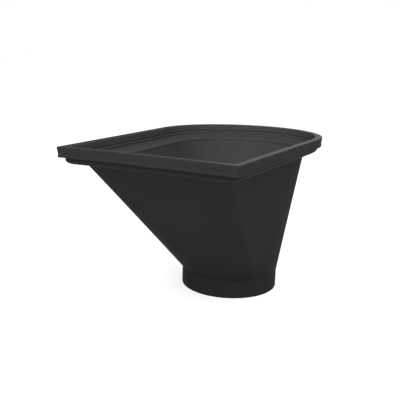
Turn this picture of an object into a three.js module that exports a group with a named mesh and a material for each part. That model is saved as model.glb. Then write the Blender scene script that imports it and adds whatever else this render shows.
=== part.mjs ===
// A feed hopper in black moulded plastic: a D-shaped mouth with a stepped rim, a tapered chute and a round
// outlet. Millimetres, +Z up. The origin is on the floor under the middle of the mouth's length. The flat
// edge of the mouth faces -Y and the round end faces +Y. An inset is a distance inwards, level, from the
// outer edge of the mouth. A drop is a distance down from the top of the rim.
import * as THREE from "three";
import { LoftGeometry } from "three/addons/geometries/LoftGeometry.js";

// Overall
const height = 175.5;
const roundRadius = 95; // outer radius of the mouth's round end
const straightLength = 209; // centre of the round end to the flat edge
const sideTaper = THREE.MathUtils.degToRad(1.7); // each long side leans in towards the flat edge
const frontBow = 3.2; // the flat edge is pulled in at its middle

// Outlet
const outletRadius = 55;
const outletWall = 2.8;
const outletLength = 21;
const outletSetback = 9; // from the centre of the round end to the outlet's axis, towards the flat edge
const outletChamfer = 0.8;

// Rim band
const bandHeight = 9.8;
const bandDraft = 0.8; // the band's outer face leans in by this much at its bottom
const landWidth = 7.6;
const capWall = 2;
const lipDepth = 7.2;
const bandRound = 0.9;

// Plan radii of the two corners at the flat edge
const mouthCorner = 1.5; // outside the band
const seatCorner = 8; // at the tray's inner face
const chuteCorner = 4; // inside the top of the chute

// Seat tray
const stepInset = 4.5;
const stepHeight = 6.2; // the tray shows this much below the band
const seatSetback = 0.5; // the tray's inner wall stands this far inside the rim's lip
const trayFloor = 3.3;
const ledgeSlope = THREE.MathUtils.degToRad(10); // the tray's floor falls inwards, so nothing lies on it
const stepRound = 4;
const treadRound = 1.2;
const ledgeRound = 1.2;
const seatFillet = 1.5;

// Chute
const chuteInset = 19.5; // the outer face of the chute starts this far in
const chuteWall = 2.5;
const neckOverhang = 1.8; // the chute's foot stands this far outside the outlet
const neckTongue = 12; // length of the sleeve that reaches down inside the outlet
const tongueWall = 2;
const fanShare = 0.5; // how far the foot's points follow the mouth's shape instead of its normals

const gap = 0.3; // clearance between pieces that touch

// Steps along each stretch of the outline and round each small edge
const arcSteps = 40;
const sideSteps = 4;
const cornerSteps = 5;
const frontSteps = 8;
const edgeSteps = 3;
const outletSteps = 72;
const chuteSteps = 6; // rings down the chute's walls

const roundCentreY = (straightLength + roundRadius) / 2 - roundRadius;
const outletY = roundCentreY - outletSetback;
const neckZ = outletLength + gap;
const tongueRadius = outletRadius - outletWall - gap;
const seatInset = landWidth + seatSetback;
const trayDrop = bandHeight + stepHeight; // down to the tray's underside at its outer edge
const chuteInnerInset = chuteInset + chuteWall;

const blackPlastic = (colour, roughness) =>
  new THREE.MeshStandardMaterial({ color: colour, roughness, metalness: 0 });

// The plan radius of the corners at an inset, so that every ring stays clear of the next.
function cornerAt(inset) {
  if (inset <= seatInset) return THREE.MathUtils.lerp(mouthCorner, seatCorner, inset / seatInset);
  const share = (inset - seatInset) / (chuteInnerInset - seatInset);
  return THREE.MathUtils.lerp(seatCorner, chuteCorner, share);
}

// The points of an edge from one corner to the next, without its last point, each with its normal's angle.
// The bow is how far the edge is pulled in at its middle.
function edgeStations(from, to, normalAngle, steps, bow = 0) {
  const stations = [];
  for (let i = 0; i < steps; i++) {
    const share = i / steps;
    const pulled = 4 * bow * share * (1 - share);
    stations.push({
      x: THREE.MathUtils.lerp(from.x, to.x, share) - pulled * Math.cos(normalAngle),
      y: THREE.MathUtils.lerp(from.y, to.y, share) - pulled * Math.sin(normalAngle),
      angle: normalAngle,
    });
  }
  return stations;
}

// The points of an arc from one angle to another, without its last point.
function arcStations(centre, radius, fromAngle, toAngle, steps) {
  const stations = [];
  for (let i = 0; i < steps; i++) {
    const angle = THREE.MathUtils.lerp(fromAngle, toAngle, i / steps);
    const x = centre.x + radius * Math.cos(angle);
    const y = centre.y + radius * Math.sin(angle);
    stations.push({ x, y, angle });
  }
  return stations;
}

// The mouth's outline moved in by an inset, counterclockwise from the right end of the round end.
function mouthStations(inset) {
  const cornerRadius = cornerAt(inset);
  const radius = roundRadius - inset;
  const cornerY = roundCentreY - straightLength + inset + cornerRadius;
  const cornerDistance = radius - cornerRadius;
  const cornerX = (cornerDistance + (cornerY - roundCentreY) * Math.sin(sideTaper)) / Math.cos(sideTaper);
  const rightAngle = -sideTaper;
  const leftAngle = Math.PI + sideTaper;
  const frontAngle = 1.5 * Math.PI;
  const roundCentre = { x: 0, y: roundCentreY };
  const leftCorner = { x: -cornerX, y: cornerY };
  const rightCorner = { x: cornerX, y: cornerY };
  const onArc = (centre, arcRadius, angle) => ({
    x: centre.x + arcRadius * Math.cos(angle),
    y: centre.y + arcRadius * Math.sin(angle),
  });
  const leftArcEnd = onArc(roundCentre, radius, leftAngle);
  const rightArcEnd = onArc(roundCentre, radius, rightAngle);
  const leftEdgeEnd = onArc(leftCorner, cornerRadius, leftAngle);
  const rightEdgeEnd = onArc(rightCorner, cornerRadius, rightAngle);
  const frontLeft = onArc(leftCorner, cornerRadius, frontAngle);
  const frontRight = onArc(rightCorner, cornerRadius, frontAngle);
  const fullTurn = 2 * Math.PI;
  return [
    ...arcStations(roundCentre, radius, rightAngle, leftAngle, arcSteps),
    ...edgeStations(leftArcEnd, leftEdgeEnd, leftAngle, sideSteps),
    ...arcStations(leftCorner, cornerRadius, leftAngle, frontAngle, cornerSteps),
    ...edgeStations(frontLeft, frontRight, frontAngle, frontSteps, frontBow),
    ...arcStations(rightCorner, cornerRadius, frontAngle, rightAngle + fullTurn, cornerSteps),
    ...edgeStations(rightEdgeEnd, rightArcEnd, rightAngle + fullTurn, sideSteps),
  ];
}

// A level ring of points round the mouth.
function mouthRing(inset, drop) {
  const z = height - drop;
  return mouthStations(inset).map((station) => new THREE.Vector3(station.x, station.y, z));
}

// A level circle of points about the outlet's axis, one for each point of the chute's top ring.
function neckRing(radius, z) {
  const stations = mouthStations(chuteInset);
  return stations.map((station) => {
    let bearing = Math.atan2(station.y - outletY, station.x);
    while (bearing < station.angle - Math.PI) bearing += 2 * Math.PI;
    const angle = THREE.MathUtils.lerp(station.angle, bearing, fanShare);
    return new THREE.Vector3(radius * Math.cos(angle), outletY + radius * Math.sin(angle), z);
  });
}

// The drop at an inset on a line that falls inwards from a first point.
const fallenTo = (inset, fromInset, fromDrop) => fromDrop + (inset - fromInset) * Math.tan(ledgeSlope);

// The underside of the tray, level with the top of the chute but for the gap.
const undersideDrop = (inset) => fallenTo(inset, stepInset + stepRound, trayDrop);

// Rings on the straight lines from one ring to another, without the last.
function ringsBetween(from, to, steps) {
  const rings = [];
  for (let i = 0; i < steps; i++) {
    rings.push(from.map((point, index) => point.clone().lerp(to[index], i / steps)));
  }
  return rings;
}

// A quarter round in a cross-section, as insets and drops, from one angle to another about its centre.
function quarterRound(insetCentre, dropCentre, radius, fromDegrees, toDegrees) {
  const points = [];
  for (let i = 0; i <= edgeSteps; i++) {
    const angle = THREE.MathUtils.degToRad(THREE.MathUtils.lerp(fromDegrees, toDegrees, i / edgeSteps));
    points.push([insetCentre + radius * Math.cos(angle), dropCentre - radius * Math.sin(angle)]);
  }
  return points;
}

// A closed solid from level rings that go up the outside, over the top and down the inside.
function ringSolid(rings) {
  return new LoftGeometry([...rings, rings[0]]);
}

// A cross-section of insets and drops carried round the mouth.
function mouthSolid(section) {
  return ringSolid(section.map(([inset, drop]) => mouthRing(inset, drop)));
}

function rimFrame() {
  const legInset = landWidth - capWall;
  const section = [
    [bandDraft, bandHeight],
    ...quarterRound(bandRound, bandRound, bandRound, 180, 90),
    ...quarterRound(landWidth - bandRound, bandRound, bandRound, 90, 0),
    [landWidth, lipDepth],
    [legInset, lipDepth],
    [legInset, capWall],
    [capWall, capWall],
    [bandDraft + capWall, bandHeight],
  ];
  return mouthSolid(section);
}

function seatTray() {
  const upstandOuter = bandDraft + capWall + gap;
  const upstandInner = landWidth - capWall - gap;
  const upstandTop = capWall + gap;
  const treadDrop = lipDepth + gap;
  const floorDrop = trayDrop - trayFloor;
  const fallStart = seatInset + seatFillet;
  const roundStart = chuteInnerInset - ledgeRound;
  const ledgeEndDrop = fallenTo(roundStart, fallStart, floorDrop);
  const section = [
    [chuteInnerInset, undersideDrop(chuteInnerInset)],
    ...quarterRound(stepInset + stepRound, trayDrop - stepRound, stepRound, 270, 180),
    [stepInset, bandHeight],
    [upstandOuter, bandHeight],
    [upstandOuter, upstandTop],
    [upstandInner, upstandTop],
    [upstandInner, treadDrop],
    ...quarterRound(seatInset - treadRound, treadDrop + treadRound, treadRound, 90, 0),
    ...quarterRound(fallStart, floorDrop - seatFillet, seatFillet, 180, 270),
    ...quarterRound(roundStart, ledgeEndDrop + ledgeRound, ledgeRound, 90, 0),
  ];
  return mouthSolid(section);
}

// The walls run straight from the mouth's shape to a circle, then a sleeve reaches down inside the outlet.
function chuteBody() {
  const tongueInner = tongueRadius - tongueWall;
  const tongueEnd = outletLength - neckTongue;
  const foot = neckRing(outletRadius + neckOverhang, neckZ);
  const top = mouthRing(chuteInset, undersideDrop(chuteInset) + gap);
  const innerTop = mouthRing(chuteInnerInset, undersideDrop(chuteInnerInset) + gap);
  const innerFoot = neckRing(tongueInner, neckZ);
  return ringSolid([
    neckRing(tongueRadius, tongueEnd),
    neckRing(tongueRadius, neckZ),
    ...ringsBetween(foot, top, chuteSteps),
    top,
    ...ringsBetween(innerTop, innerFoot, chuteSteps),
    innerFoot,
    neckRing(tongueInner, tongueEnd),
  ]);
}

function outletSpigot() {
  const inner = outletRadius - outletWall;
  const profile = [
    new THREE.Vector2(inner, 0),
    new THREE.Vector2(outletRadius - outletChamfer, 0),
    new THREE.Vector2(outletRadius, outletChamfer),
    new THREE.Vector2(outletRadius, outletLength),
    new THREE.Vector2(inner, outletLength),
    new THREE.Vector2(inner, 0),
  ];
  return new THREE.LatheGeometry(profile, outletSteps).rotateX(Math.PI / 2).translate(0, outletY, 0);
}

function piece(name, geometry, colour, roughness) {
  const mesh = new THREE.Mesh(geometry, blackPlastic(colour, roughness));
  mesh.name = name;
  return mesh;
}

const hopper = new THREE.Group();
hopper.add(
  piece("rim_frame", rimFrame(), 0x2b2b2c, 0.5),
  piece("seat_tray", seatTray(), 0x29292a, 0.5),
  piece("chute_body", chuteBody(), 0x262627, 0.6),
  piece("outlet_spigot", outletSpigot(), 0x262627, 0.6),
);

export default hopper;
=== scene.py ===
import math

import bmesh
import bpy
from mathutils import Matrix, Vector


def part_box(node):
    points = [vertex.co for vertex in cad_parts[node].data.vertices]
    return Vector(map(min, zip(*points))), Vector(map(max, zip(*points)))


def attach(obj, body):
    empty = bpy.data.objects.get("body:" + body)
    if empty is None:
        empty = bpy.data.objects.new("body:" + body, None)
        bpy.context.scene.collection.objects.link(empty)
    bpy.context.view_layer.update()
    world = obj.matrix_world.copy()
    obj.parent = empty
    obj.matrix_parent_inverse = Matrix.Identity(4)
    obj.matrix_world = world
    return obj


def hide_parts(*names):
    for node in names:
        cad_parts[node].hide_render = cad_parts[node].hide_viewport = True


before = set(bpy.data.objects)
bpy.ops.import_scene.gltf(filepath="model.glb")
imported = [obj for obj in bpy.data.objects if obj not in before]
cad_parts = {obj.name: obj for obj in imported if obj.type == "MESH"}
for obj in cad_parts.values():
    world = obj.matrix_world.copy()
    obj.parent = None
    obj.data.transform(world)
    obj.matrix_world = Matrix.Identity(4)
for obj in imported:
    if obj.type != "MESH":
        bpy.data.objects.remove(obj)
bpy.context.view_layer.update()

mm = 0.001


# node maths: arithmetic on a Wire adds the nodes it needs
class Wire:
    def __init__(self, socket):
        self.socket = socket
        self.tree = socket.id_data

    @staticmethod
    def node(tree, kind, settings=None, inputs=None, output=0):
        # settings go on first, because some of them change which sockets there are
        made = tree.nodes.new(kind)
        for key, value in (settings or {}).items():
            setattr(made, key, value)
        for key, value in (inputs or {}).items():
            if isinstance(value, Wire):
                tree.links.new(value.socket, made.inputs[key])
            else:
                made.inputs[key].default_value = value
        return Wire(made.outputs[output])

    def maths(self, operation, *values):
        inputs = dict(enumerate(values))
        return Wire.node(self.tree, "ShaderNodeMath", {"operation": operation}, inputs)

    def __add__(self, other):
        return self.maths("ADD", self, other)

    def __radd__(self, other):
        return self.maths("ADD", other, self)

    def __sub__(self, other):
        return self.maths("SUBTRACT", self, other)

    def __rsub__(self, other):
        return self.maths("SUBTRACT", other, self)

    def __mul__(self, other):
        return self.maths("MULTIPLY", self, other)

    def __rmul__(self, other):
        return self.maths("MULTIPLY", other, self)

    def __truediv__(self, other):
        return self.maths("DIVIDE", self, other)

    def __rtruediv__(self, other):
        return self.maths("DIVIDE", other, self)

    def cosine(self):
        return self.maths("COSINE", self)

    def sine(self):
        return self.maths("SINE", self)

    def bearingTo(self, across):
        return self.maths("ARCTAN2", self, across)

    def towards(self, other, share):
        return self + (other - self) * share

    def between(self, low, high):
        # 0 below low, 1 above high, smooth in between
        return Wire.node(
            self.tree, "ShaderNodeMapRange", {"interpolation_type": "SMOOTHSTEP"},
            {"Value": self, "From Min": low, "From Max": high},
        )


# the mouth's shape, shared by every piece
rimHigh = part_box("rim_frame")[1]
spigotLow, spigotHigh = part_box("outlet_spigot")

mouth = {
    "height": rimHigh.z,
    "roundRadius": 95 * mm,
    "straightLength": 209 * mm,
    "sideTaper": math.radians(1.7),
    "frontBow": 3.2 * mm,
    "outerCorner": 1.5 * mm,
    "seatCorner": 8 * mm,
    "seatInset": 8.1 * mm,
    "chuteCorner": 4 * mm,
    "chuteInset": 22 * mm,
    "fanShare": 0.5,  # how far the foot's points follow the mouth's shape instead of its facing
    "roundSteps": 64,
    "sideSteps": 16,
    "cornerSteps": 36,
    "frontSteps": 16,
}
outletCentreY = (spigotLow.y + spigotHigh.y) / 2
outletRadius = (spigotHigh.y - spigotLow.y) / 2
outletTop = spigotHigh.z


def cornerAt(inset):
    # plan radius of the mouth's two corners, at a distance in from its outer edge
    if inset <= mouth["seatInset"]:
        share = max(inset, 0) / mouth["seatInset"]
        return mouth["outerCorner"] + (mouth["seatCorner"] - mouth["outerCorner"]) * share
    share = (inset - mouth["seatInset"]) / (mouth["chuteInset"] - mouth["seatInset"])
    return mouth["seatCorner"] + (mouth["chuteCorner"] - mouth["seatCorner"]) * share


def halfStations():
    # (facing, share of the way to the corner's centre, share of the way to the middle of the front)
    # from the middle of the round end, down the right side, to the middle of the flat edge
    back, side, front = math.pi / 2, -mouth["sideTaper"], -math.pi / 2
    stations = []
    for i in range(mouth["roundSteps"]):
        stations.append((back + (side - back) * i / mouth["roundSteps"], 0, 0))
    for i in range(mouth["sideSteps"]):
        stations.append((side, i / mouth["sideSteps"], 0))
    for i in range(mouth["cornerSteps"]):
        stations.append((side + (front - side) * i / mouth["cornerSteps"], 1, 0))
    for i in range(mouth["frontSteps"] + 1):
        stations.append((front, 1, i / mouth["frontSteps"]))
    return stations


def allStations():
    right = [(1, *station) for station in halfStations()]
    left = [(-1, *station[1:]) for station in right[1:-1]]
    return right + left[::-1]


# a closed cross-section with rounded corners, in millimetres of inset and drop
def roundedLoop(corners, arcSteps=5, support=0.3):
    # a corner is (inset, drop, radius, how much painted light the stretch after it has)
    # a spare point beside each arc keeps the flats flat in the shading
    loop = []
    count = len(corners)
    for i, (across, down, radius, paintedLight) in enumerate(corners):
        here = Vector((across, down))
        before = Vector(corners[i - 1][:2]) - here
        after = Vector(corners[(i + 1) % count][:2]) - here
        inDir, outDir = before.normalized(), after.normalized()
        halfAngle = inDir.angle(outDir) / 2
        setback = radius / math.tan(halfAngle)
        centre = here + (inDir + outDir).normalized() * (radius / math.sin(halfAngle))
        start, end = here + inDir * setback, here + outDir * setback
        first, last = start - centre, end - centre
        turn = first.angle_signed(last)
        paintedLightBefore = corners[i - 1][3]
        if before.length > 2 * (setback + support):
            loop.append((*(start + inDir * support), paintedLightBefore))
        for step in range(arcSteps + 1):
            share = step / arcSteps
            spoke = Matrix.Rotation(-turn * share, 2) @ first
            loop.append((*(centre + spoke), paintedLightBefore + (paintedLight - paintedLightBefore) * share))
        if after.length > 2 * (setback + support):
            loop.append((*(end + outDir * support), paintedLight))
    return loop


# a section point lies at inset and drop in the mouth's shape, or at neckRadius and neckHeight about the
# outlet's axis, or on the line between the two, where fall is how far it is from the first to the second
def ringSection(corners):
    # a section that stays in the mouth's shape all the way
    return [
        {
            "inset": inset * mm, "drop": drop * mm, "fall": 0,
            "neckRadius": 0, "neckHeight": 0, "paintedLight": paintedLight,
        }
        for inset, drop, paintedLight in roundedLoop(corners)
    ]


def neckPoint(radius, height, paintedLight=0):
    return {
        "inset": 0, "drop": 0, "fall": 1,
        "neckRadius": radius, "neckHeight": height, "paintedLight": paintedLight,
    }


# one tree bends every piece: a strip of stations and section points becomes a wall round the mouth
sizeNames = ["height", "roundRadius", "straightLength", "frontBow", "fanShare"]
stripNames = [
    "side", "facing", "cornerShare", "frontShare",
    "inset", "corner", "drop", "fall", "neckRadius", "neckHeight",
]


def hopperTree():
    tree = bpy.data.node_groups.new("hopperWall", "GeometryNodeTree")
    face = tree.interface
    face.new_socket("Strip", in_out="INPUT", socket_type="NodeSocketGeometry")
    for name in [*sizeNames, "roundCentre", "outletCentre"]:
        face.new_socket(name, in_out="INPUT", socket_type="NodeSocketFloat")
    face.new_socket("plastic", in_out="INPUT", socket_type="NodeSocketMaterial")
    face.new_socket("Wall", in_out="OUTPUT", socket_type="NodeSocketGeometry")
    entry = tree.nodes.new("NodeGroupInput")
    size = {socket.name: Wire(socket) for socket in entry.outputs if socket.name}
    at = {
        name: Wire.node(
            tree, "GeometryNodeInputNamedAttribute", {"data_type": "FLOAT"}, {"Name": name}
        )
        for name in stripNames
    }

    # the two circles that each station lies on or between: the round end's and the corner's
    sinTaper, cosTaper = math.sin(mouth["sideTaper"]), math.cos(mouth["sideTaper"])
    radius = size["roundRadius"] - at["inset"]
    cornerDown = at["inset"] + at["corner"] - size["straightLength"]
    cornerAcross = (radius - at["corner"] + cornerDown * sinTaper) / cosTaper
    centreX = cornerAcross * at["cornerShare"] * (1 - at["frontShare"])
    centreY = size["roundCentre"] + cornerDown * at["cornerShare"]
    reach = radius.towards(at["corner"], at["cornerShare"])
    pulled = size["frontBow"] * at["frontShare"] * (2 - at["frontShare"])
    mouthX = centreX + reach * at["facing"].cosine()
    mouthY = centreY + reach * at["facing"].sine() + pulled

    # the foot's circle
    bearing = (mouthY - size["outletCentre"]).bearingTo(mouthX)
    turned = at["facing"].towards(bearing, size["fanShare"])
    neckX = at["neckRadius"] * turned.cosine()
    neckY = size["outletCentre"] + at["neckRadius"] * turned.sine()

    # straight lines from one to the other
    place = Wire.node(tree, "ShaderNodeCombineXYZ", None, {
        "X": at["side"] * mouthX.towards(neckX, at["fall"]),
        "Y": mouthY.towards(neckY, at["fall"]),
        "Z": (size["height"] - at["drop"]).towards(at["neckHeight"], at["fall"]),
    })
    bent = Wire.node(
        tree, "GeometryNodeSetPosition", None, {"Geometry": size["Strip"], "Position": place}
    )
    smooth = Wire.node(tree, "GeometryNodeSetShadeSmooth", None, {0: bent})
    whole = Wire.node(tree, "GeometryNodeRealizeInstances", None, {"Geometry": smooth})
    finished = Wire.node(
        tree, "GeometryNodeSetMaterial", None, {"Geometry": whole, "Material": size["plastic"]}
    )
    leave = tree.nodes.new("NodeGroupOutput")
    tree.links.new(finished.socket, leave.inputs["Wall"])
    return tree


def stripMesh(name, section):
    # a closed strip with a value of each kind on every point; the tree gives it its place
    stations = allStations()
    across, along = len(section), len(stations)
    faces = []
    for i in range(along):
        for j in range(across):
            nextI, nextJ = (i + 1) % along, (j + 1) % across
            faces.append((
                i * across + j, i * across + nextJ, nextI * across + nextJ, nextI * across + j
            ))
    mesh = bpy.data.meshes.new(name)
    mesh.from_pydata([(i, j, 0) for i in range(along) for j in range(across)], [], faces)
    for key in stripNames:
        values = []
        for side, facing, cornerShare, frontShare in stations:
            station = {
                "side": side, "facing": facing, "cornerShare": cornerShare, "frontShare": frontShare
            }
            for point in section:
                if key == "corner":
                    values.append(cornerAt(point["inset"]))
                else:
                    values.append(station[key] if key in station else point[key])
        mesh.attributes.new(key, "FLOAT", "POINT").data.foreach_set("value", values)
    # painted light: how much paler each point is painted, standing in for the light inside the hopper
    paintedLight = [point["paintedLight"] for _ in stations for point in section]
    mesh.attributes.new("paintedLight", "FLOAT", "POINT").data.foreach_set("value", paintedLight)
    return mesh


def pourPiece(name, section, tree, plastic):
    piece = bpy.data.objects.new(name, stripMesh(name, section))
    bpy.context.collection.objects.link(piece)
    modifier = piece.modifiers.new("hopperWall", "NODES")
    modifier.node_group = tree
    values = {
        **{key: mouth[key] for key in sizeNames},
        "roundCentre": rimHigh.y - mouth["roundRadius"],
        "outletCentre": outletCentreY,
        "plastic": plastic,
    }
    for item in tree.interface.items_tree:
        if item.in_out == "INPUT" and item.name in values:
            modifier[item.identifier] = values[item.name]
    shaped = piece.evaluated_get(bpy.context.evaluated_depsgraph_get())
    mesh = bpy.data.meshes.new_from_object(shaped)
    piece.modifiers.remove(modifier)
    piece.data = mesh
    for key in stripNames:
        mesh.attributes.remove(mesh.attributes[key])
    work = bmesh.new()
    work.from_mesh(mesh)
    bmesh.ops.recalc_face_normals(work, faces=work.faces)
    work.to_mesh(mesh)
    work.free()
    print(f"{name}: {len(mesh.polygons)} faces")
    return piece


# black moulded plastic
rimLook = {
    "colour": (0.0135, 0.0135, 0.0138),
    "paleColour": (0.0195, 0.0195, 0.0199),
    # the paler colour painted on the inside faces, standing in for the light that falls in there
    "paintedLightColour": (0.040, 0.040, 0.0404),
    "roughness": 0.50,
    "grainSize": 0.55 * mm,
    "grainDepth": 0.02 * mm,
    "specular": 0.006,
}
bodyLook = {
    "colour": (0.0125, 0.0125, 0.0128),
    "paleColour": (0.0175, 0.0175, 0.0179),
    # the paler colour painted on the inside faces, standing in for the light that falls in there
    "paintedLightColour": (0.034, 0.034, 0.0344),
    "roughness": 0.55,
    "grainSize": 0.6 * mm,
    "grainDepth": 0.03 * mm,
    "specular": 0.006,
}


# the marks that both plastics share, and how far each one pushes a value up and down
marks = {
    "clouds": (60 * mm, 2, 0.5),  # size, detail and roughness
    "blotches": (7 * mm, 3, 0.6),
    "grain": (2, 0.6),  # its size is the plastic's own
    "pitSpacing": 1.6,  # in grains
    "pitEdges": (0.05, 0.55),
    "paleMiddle": 0.4,
    "paleShares": {"clouds": 0.7, "blotches": 0.6, "grain": 0.9},
    # how strongly the inside is painted paler as light, broken up by the blotches and grain
    "paintedLightMiddle": 0.82,
    "paintedLightShares": {"blotches": 0.5, "grain": 0.4},
    "roughnessShares": {"clouds": 0.10, "blotches": 0.08, "grain": 0.12},
    "grainRelief": 0.6,
    "pitRelief": 0.4,
    "bumpStrength": 0.55,
}


def blackPlastic(name, look):
    material = bpy.data.materials.new(name)
    material.use_nodes = True
    tree = material.node_tree
    tree.nodes.clear()
    place = Wire.node(tree, "ShaderNodeTexCoord", output="Object")

    def noise(size, detail, roughness):
        return Wire.node(tree, "ShaderNodeTexNoise", None, {
            "Vector": place, "Scale": 1 / size, "Detail": detail, "Roughness": roughness,
        })

    noises = {
        "clouds": noise(*marks["clouds"]),  # faint flow marks across a wall
        "blotches": noise(*marks["blotches"]),
        "grain": noise(look["grainSize"], *marks["grain"]),  # the mould's etched grain
    }
    pits = Wire.node(
        tree, "ShaderNodeTexVoronoi", {"feature": "F1"},
        {"Vector": place, "Scale": 1 / (marks["pitSpacing"] * look["grainSize"])}, "Distance",
    ).between(*marks["pitEdges"])

    def around(middle, shares):
        value = middle
        for key, share in shares.items():
            value = value + (noises[key] - 0.5) * share
        return value

    def mixed(factor, first, second):
        # the colour sockets go by number, because their names repeat on this node
        return Wire.node(
            tree, "ShaderNodeMix", {"data_type": "RGBA", "clamp_factor": True},
            {"Factor": factor, 6: first, 7: second}, 2,
        )

    pale = around(marks["paleMiddle"], marks["paleShares"])
    moulded = mixed(pale, (*look["colour"], 1), (*look["paleColour"], 1))
    # painted light: the inside faces are painted paler, standing in for the light that falls into the
    # hopper
    paintedLight = Wire.node(tree, "ShaderNodeAttribute", {"attribute_name": "paintedLight"}, None, "Fac")
    paintedLightShare = paintedLight * around(marks["paintedLightMiddle"], marks["paintedLightShares"])
    colour = mixed(paintedLightShare, moulded, (*look["paintedLightColour"], 1))
    relief = noises["grain"] * marks["grainRelief"] + pits * marks["pitRelief"]
    bump = Wire.node(tree, "ShaderNodeBump", None, {
        "Height": relief, "Strength": marks["bumpStrength"], "Distance": look["grainDepth"],
    })
    shader = Wire.node(tree, "ShaderNodeBsdfPrincipled", None, {
        "Base Color": colour,
        "Roughness": around(look["roughness"], marks["roughnessShares"]),
        "Normal": bump,
        "Specular IOR Level": look["specular"],
    })
    end = tree.nodes.new("ShaderNodeOutputMaterial")
    tree.links.new(shader.socket, end.inputs["Surface"])
    return material


rimPlastic = blackPlastic("rimPlastic", rimLook)
bodyPlastic = blackPlastic("bodyPlastic", bodyLook)
wallTree = hopperTree()
print("tree and plastics ready")


# rim frame: an upside-down channel over the tray's upstand, in millimetres
rim = {
    "landWidth": 7.6,
    "bandHeight": 9.8,
    "skirtDraft": 0.8,  # the skirt leans in by this much
    "skirtEnd": 7.6,  # drop at which the bead along its foot begins
    "skirtInside": 2.1,
    "skirtInsideFoot": 2.7,
    "skirtRound": 0.2,
    "beadDrop": 8.0,
    "beadInset": 0.5,
    "beadRound": 0.25,
    "beadFootInset": 0.55,
    "beadFootRound": 0.3,
    "capWall": 2.0,
    "landRound": 0.9,
    "lipDepth": 7.1,
    "lipInside": 5.6,
    "lipRound": 0.4,
    # painted light: the lip's inner face is painted paler, standing in for the light falling on it
    "lipPaintedLight": 1,
    "channelRound": 0.4,
    "footRound": 0.3,
}


def rimSection():
    return ringSection([
        (rim["beadFootInset"], rim["bandHeight"], rim["beadFootRound"], 0),
        (rim["beadInset"], rim["beadDrop"], rim["beadRound"], 0),
        (rim["skirtDraft"], rim["skirtEnd"], rim["skirtRound"], 0),
        (0, 0, rim["landRound"], 0),
        (rim["landWidth"], 0, rim["landRound"], rim["lipPaintedLight"]),
        (rim["landWidth"], rim["lipDepth"], rim["lipRound"], rim["lipPaintedLight"]),
        (rim["lipInside"], rim["lipDepth"], rim["footRound"], 0),
        (rim["lipInside"], rim["capWall"], rim["channelRound"], 0),
        (rim["skirtInside"], rim["capWall"], rim["channelRound"], 0),
        (rim["skirtInsideFoot"], rim["bandHeight"], rim["footRound"], 0),
    ])


rimFrame = pourPiece("rimFrame", rimSection(), wallTree, rimPlastic)


# seat tray: upstand, second step and sloping ledge, in millimetres
tray = {
    "upstandOuter": 3.1,
    "upstandInner": 5.3,
    "upstandTop": 2.3,
    "upstandRound": 0.3,
    "upstandFootRound": 0.2,
    "stepInset": 4.5,
    "stepTopRound": 0.5,
    "stepRound": 3.8,
    "underFrom": 8.5,  # the underside falls inwards from this inset and drop
    "underDrop": 16,
    "underRound": 0.05,
    "ledgeFrom": 9.6,  # and the ledge from these
    "ledgeDrop": 12.7,
    "ledgeRound": 1.2,
    "treadDrop": 7.55,
    "treadRound": 1.2,
    "seatFillet": 1.5,
    "slope": math.tan(math.radians(10)),
    # painted light: how much paler the tray's inside faces are painted, standing in for the light
    # falling in
    "treadPaintedLight": 0.6,
    "seatPaintedLight": 0.75,
    "ledgePaintedLight": 0.35,
    "ledgeEndPaintedLight": 0.8,
}


def underside(inset):
    return tray["underDrop"] + (inset - tray["underFrom"]) * tray["slope"]


def ledge(inset):
    return tray["ledgeDrop"] + (inset - tray["ledgeFrom"]) * tray["slope"]


def traySection():
    seat, end = mouth["seatInset"] / mm, mouth["chuteInset"] / mm
    return ringSection([
        (end, underside(end), tray["underRound"], 0),
        (tray["stepInset"], underside(tray["stepInset"]), tray["stepRound"], 0),
        (tray["stepInset"], rim["bandHeight"], tray["stepTopRound"], 0),
        (tray["upstandOuter"], rim["bandHeight"], tray["upstandFootRound"], 0),
        (tray["upstandOuter"], tray["upstandTop"], tray["upstandRound"], 0),
        (tray["upstandInner"], tray["upstandTop"], tray["upstandRound"], 0),
        (tray["upstandInner"], tray["treadDrop"], tray["upstandFootRound"], tray["treadPaintedLight"]),
        (seat, tray["treadDrop"], tray["treadRound"], tray["seatPaintedLight"]),
        (seat, ledge(seat), tray["seatFillet"], tray["ledgePaintedLight"]),
        (end, ledge(end), tray["ledgeRound"], tray["ledgeEndPaintedLight"]),
    ])


seatTray = pourPiece("seatTray", traySection(), wallTree, rimPlastic)


# chute: straight lines from the mouth's shape down to the outlet's circle
chute = {
    "outerInset": 19.5 * mm,
    "innerInset": mouth["chuteInset"],
    "topSeam": 0.05 * mm,  # from the tray's underside to the top of the wall
    "footRadius": outletRadius + 0.2 * mm,
    "footHeight": outletTop + 0.06 * mm,
    "sleeveOuter": outletRadius - 3.1 * mm,
    "sleeveInner": outletRadius - 5.1 * mm,
    "sleeveEnd": outletTop - 12 * mm,
    # the walls' rows run from a little above the foot to a little below the top
    "rows": 24,
    "firstFall": 0.998,
    "lastFall": 0.008,
    # spare rows beside the edges keep the flats flat in the shading
    "topSpareFall": 0.002,
    "sleeveSpare": 0.3 * mm,
    "neckSpare": 1.5 * mm,
    "footSpares": (outletRadius - 0.3 * mm, outletRadius + 0.05 * mm),
}


def wallPoints(inset, footRadius, falls, paintedLight):
    drop = underside(inset / mm) * mm + chute["topSeam"]
    return [
        {
            "inset": inset, "drop": drop, "fall": fall,
            "neckRadius": footRadius, "neckHeight": chute["footHeight"], "paintedLight": paintedLight,
        }
        for fall in falls
    ]


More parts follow.
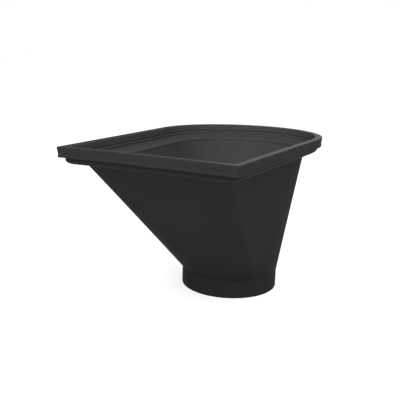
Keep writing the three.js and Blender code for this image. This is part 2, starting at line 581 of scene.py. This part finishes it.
def chuteSection():
    rows, first, last = chute["rows"], chute["firstFall"], chute["lastFall"]
    falls = [first + (last - first) * i / rows for i in range(rows + 1)]
    falls += [chute["topSpareFall"], 0]
    foot, end, spare = chute["footHeight"], chute["sleeveEnd"], chute["sleeveSpare"]
    outer, inner = chute["sleeveOuter"], chute["sleeveInner"]
    return [
        *(neckPoint(outer, height) for height in (end, end + spare, foot - spare, foot)),
        *(neckPoint(radius, foot) for radius in chute["footSpares"]),
        # the last value is painted light: none outside, while the inner wall and the sleeve's inside are
        # painted paler
        *wallPoints(chute["outerInset"], chute["footRadius"], falls, 0),
        *wallPoints(chute["innerInset"], inner, reversed(falls), 1),
        *(neckPoint(inner, height, 1) for height in (foot, foot - chute["neckSpare"])),
        *(neckPoint(inner, height, 1) for height in (end + spare, end)),
    ]


chuteBody = pourPiece("chuteBody", chuteSection(), wallTree, bodyPlastic)


# outlet spigot: a short plain tube, in millimetres
spigot = {"wall": 2.8, "footRound": 0.8, "innerRound": 0.5, "topRound": 0.2}


def spigotSection():
    radius, top = outletRadius / mm, outletTop / mm
    corners = [
        # the last value is painted light: the tube's inside is painted paler
        (radius - spigot["wall"], 0, spigot["innerRound"], 1),
        (radius, 0, spigot["footRound"], 0),
        (radius, top, spigot["topRound"], 0),
        (radius - spigot["wall"], top, spigot["topRound"], 1),
    ]
    return [
        neckPoint(across * mm, up * mm, paintedLight) for across, up, paintedLight in roundedLoop(corners)
    ]


outletSpigot = pourPiece("outletSpigot", spigotSection(), wallTree, bodyPlastic)


# what each piece stands for
for piece, node, slotName in (
    (rimFrame, "rim_frame", "rim_plastic"),
    (seatTray, "seat_tray", "rim_plastic"),
    (chuteBody, "chute_body", "body_plastic"),
    (outletSpigot, "outlet_spigot", "body_plastic"),
):
    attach(piece, "root")
    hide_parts(node)
print("pieces in place")


# studio: pale floor, soft lights, camera
studio = {
    "floorSize": 30,
    "floorColour": (0.4, 0.4, 0.4, 1),
    "floorGlow": 0.62,  # the floor is a light table, so that shadows stay faint
    "floorGlowColour": (1, 1, 1, 1),
    "floorRoughness": 0.9,
    "floorSpecular": 0.0,
    "skyColour": (1, 1, 1, 1),
    "skyStrength": 1.0,
    "lens": 53.79,
    "sensorWidth": 36,
    "cameraPlace": (0.2593, -0.5730, 0.2527),
    "cameraAzimuth": 25.7835,
    "cameraElevation": 12.9979,
    "cameraRoll": 1.6357,
    "clipStart": 0.01,
    "clipEnd": 50,
}
# where each lamp stands, what it faces, its size and its power
lamps = {
    "keyLamp": ((0.1, -0.7, 1.5), (0, 0.05, 0.13), (1.2, 1.2), 32),
    "fillLamp": ((0.5, -1.1, 1.2), (0, 0.05, 0.13), (0.8, 0.8), 22),
    "backLamp": ((-0.45, 1.5, 0.42), (0, 0.05, 0.13), (0.5, 0.3), 2.2),
}


def makeFloor():
    half = studio["floorSize"] / 2
    corners = [(-half, -half, 0), (half, -half, 0), (half, half, 0), (-half, half, 0)]
    mesh = bpy.data.meshes.new("floor")
    mesh.from_pydata(corners, [], [(0, 1, 2, 3)])
    floor = bpy.data.objects.new("floor", mesh)
    bpy.context.collection.objects.link(floor)
    material = bpy.data.materials.new("paleFloor")
    material.use_nodes = True
    shader = material.node_tree.nodes["Principled BSDF"]
    shader.inputs["Base Color"].default_value = studio["floorColour"]
    shader.inputs["Roughness"].default_value = studio["floorRoughness"]
    shader.inputs["Specular IOR Level"].default_value = studio["floorSpecular"]
    shader.inputs["Emission Color"].default_value = studio["floorGlowColour"]
    shader.inputs["Emission Strength"].default_value = studio["floorGlow"]
    mesh.materials.append(material)


def makeLamp(name, place, target, size, power):
    data = bpy.data.lights.new(name, "AREA")
    data.shape = "RECTANGLE"
    data.size, data.size_y = size
    data.energy = power
    lamp = bpy.data.objects.new(name, data)
    lamp.location = place
    lamp.rotation_mode = "QUATERNION"
    lamp.rotation_quaternion = (Vector(target) - Vector(place)).to_track_quat("-Z", "Y")
    bpy.context.collection.objects.link(lamp)


def makeSky():
    world = bpy.data.worlds.new("studioSky")
    bpy.context.scene.world = world
    world.use_nodes = True
    back = world.node_tree.nodes["Background"]
    back.inputs["Color"].default_value = studio["skyColour"]
    back.inputs["Strength"].default_value = studio["skyStrength"]


def makeCamera():
    azimuth, elevation, roll = (
        math.radians(studio[key]) for key in ("cameraAzimuth", "cameraElevation", "cameraRoll")
    )
    flat = math.cos(elevation)
    back = Vector((math.sin(azimuth) * flat, -math.cos(azimuth) * flat, math.sin(elevation)))
    level = Vector((math.cos(azimuth), math.sin(azimuth), 0))
    right = level * math.cos(roll) + back.cross(level) * math.sin(roll)
    up = back.cross(right)
    data = bpy.data.cameras.new("camera")
    data.lens = studio["lens"]
    data.sensor_width = studio["sensorWidth"]
    data.clip_start, data.clip_end = studio["clipStart"], studio["clipEnd"]
    camera = bpy.data.objects.new("camera", data)
    turn = Matrix((right, up, back)).transposed()
    camera.matrix_world = Matrix.Translation(studio["cameraPlace"]) @ turn.to_4x4()
    bpy.context.collection.objects.link(camera)
    bpy.context.scene.camera = camera


makeFloor()
makeSky()
for name, facts in lamps.items():
    makeLamp(name, *facts)
makeCamera()
view = bpy.context.scene.view_settings
view.view_transform = "Standard"
view.look = "None"
print("studio ready")
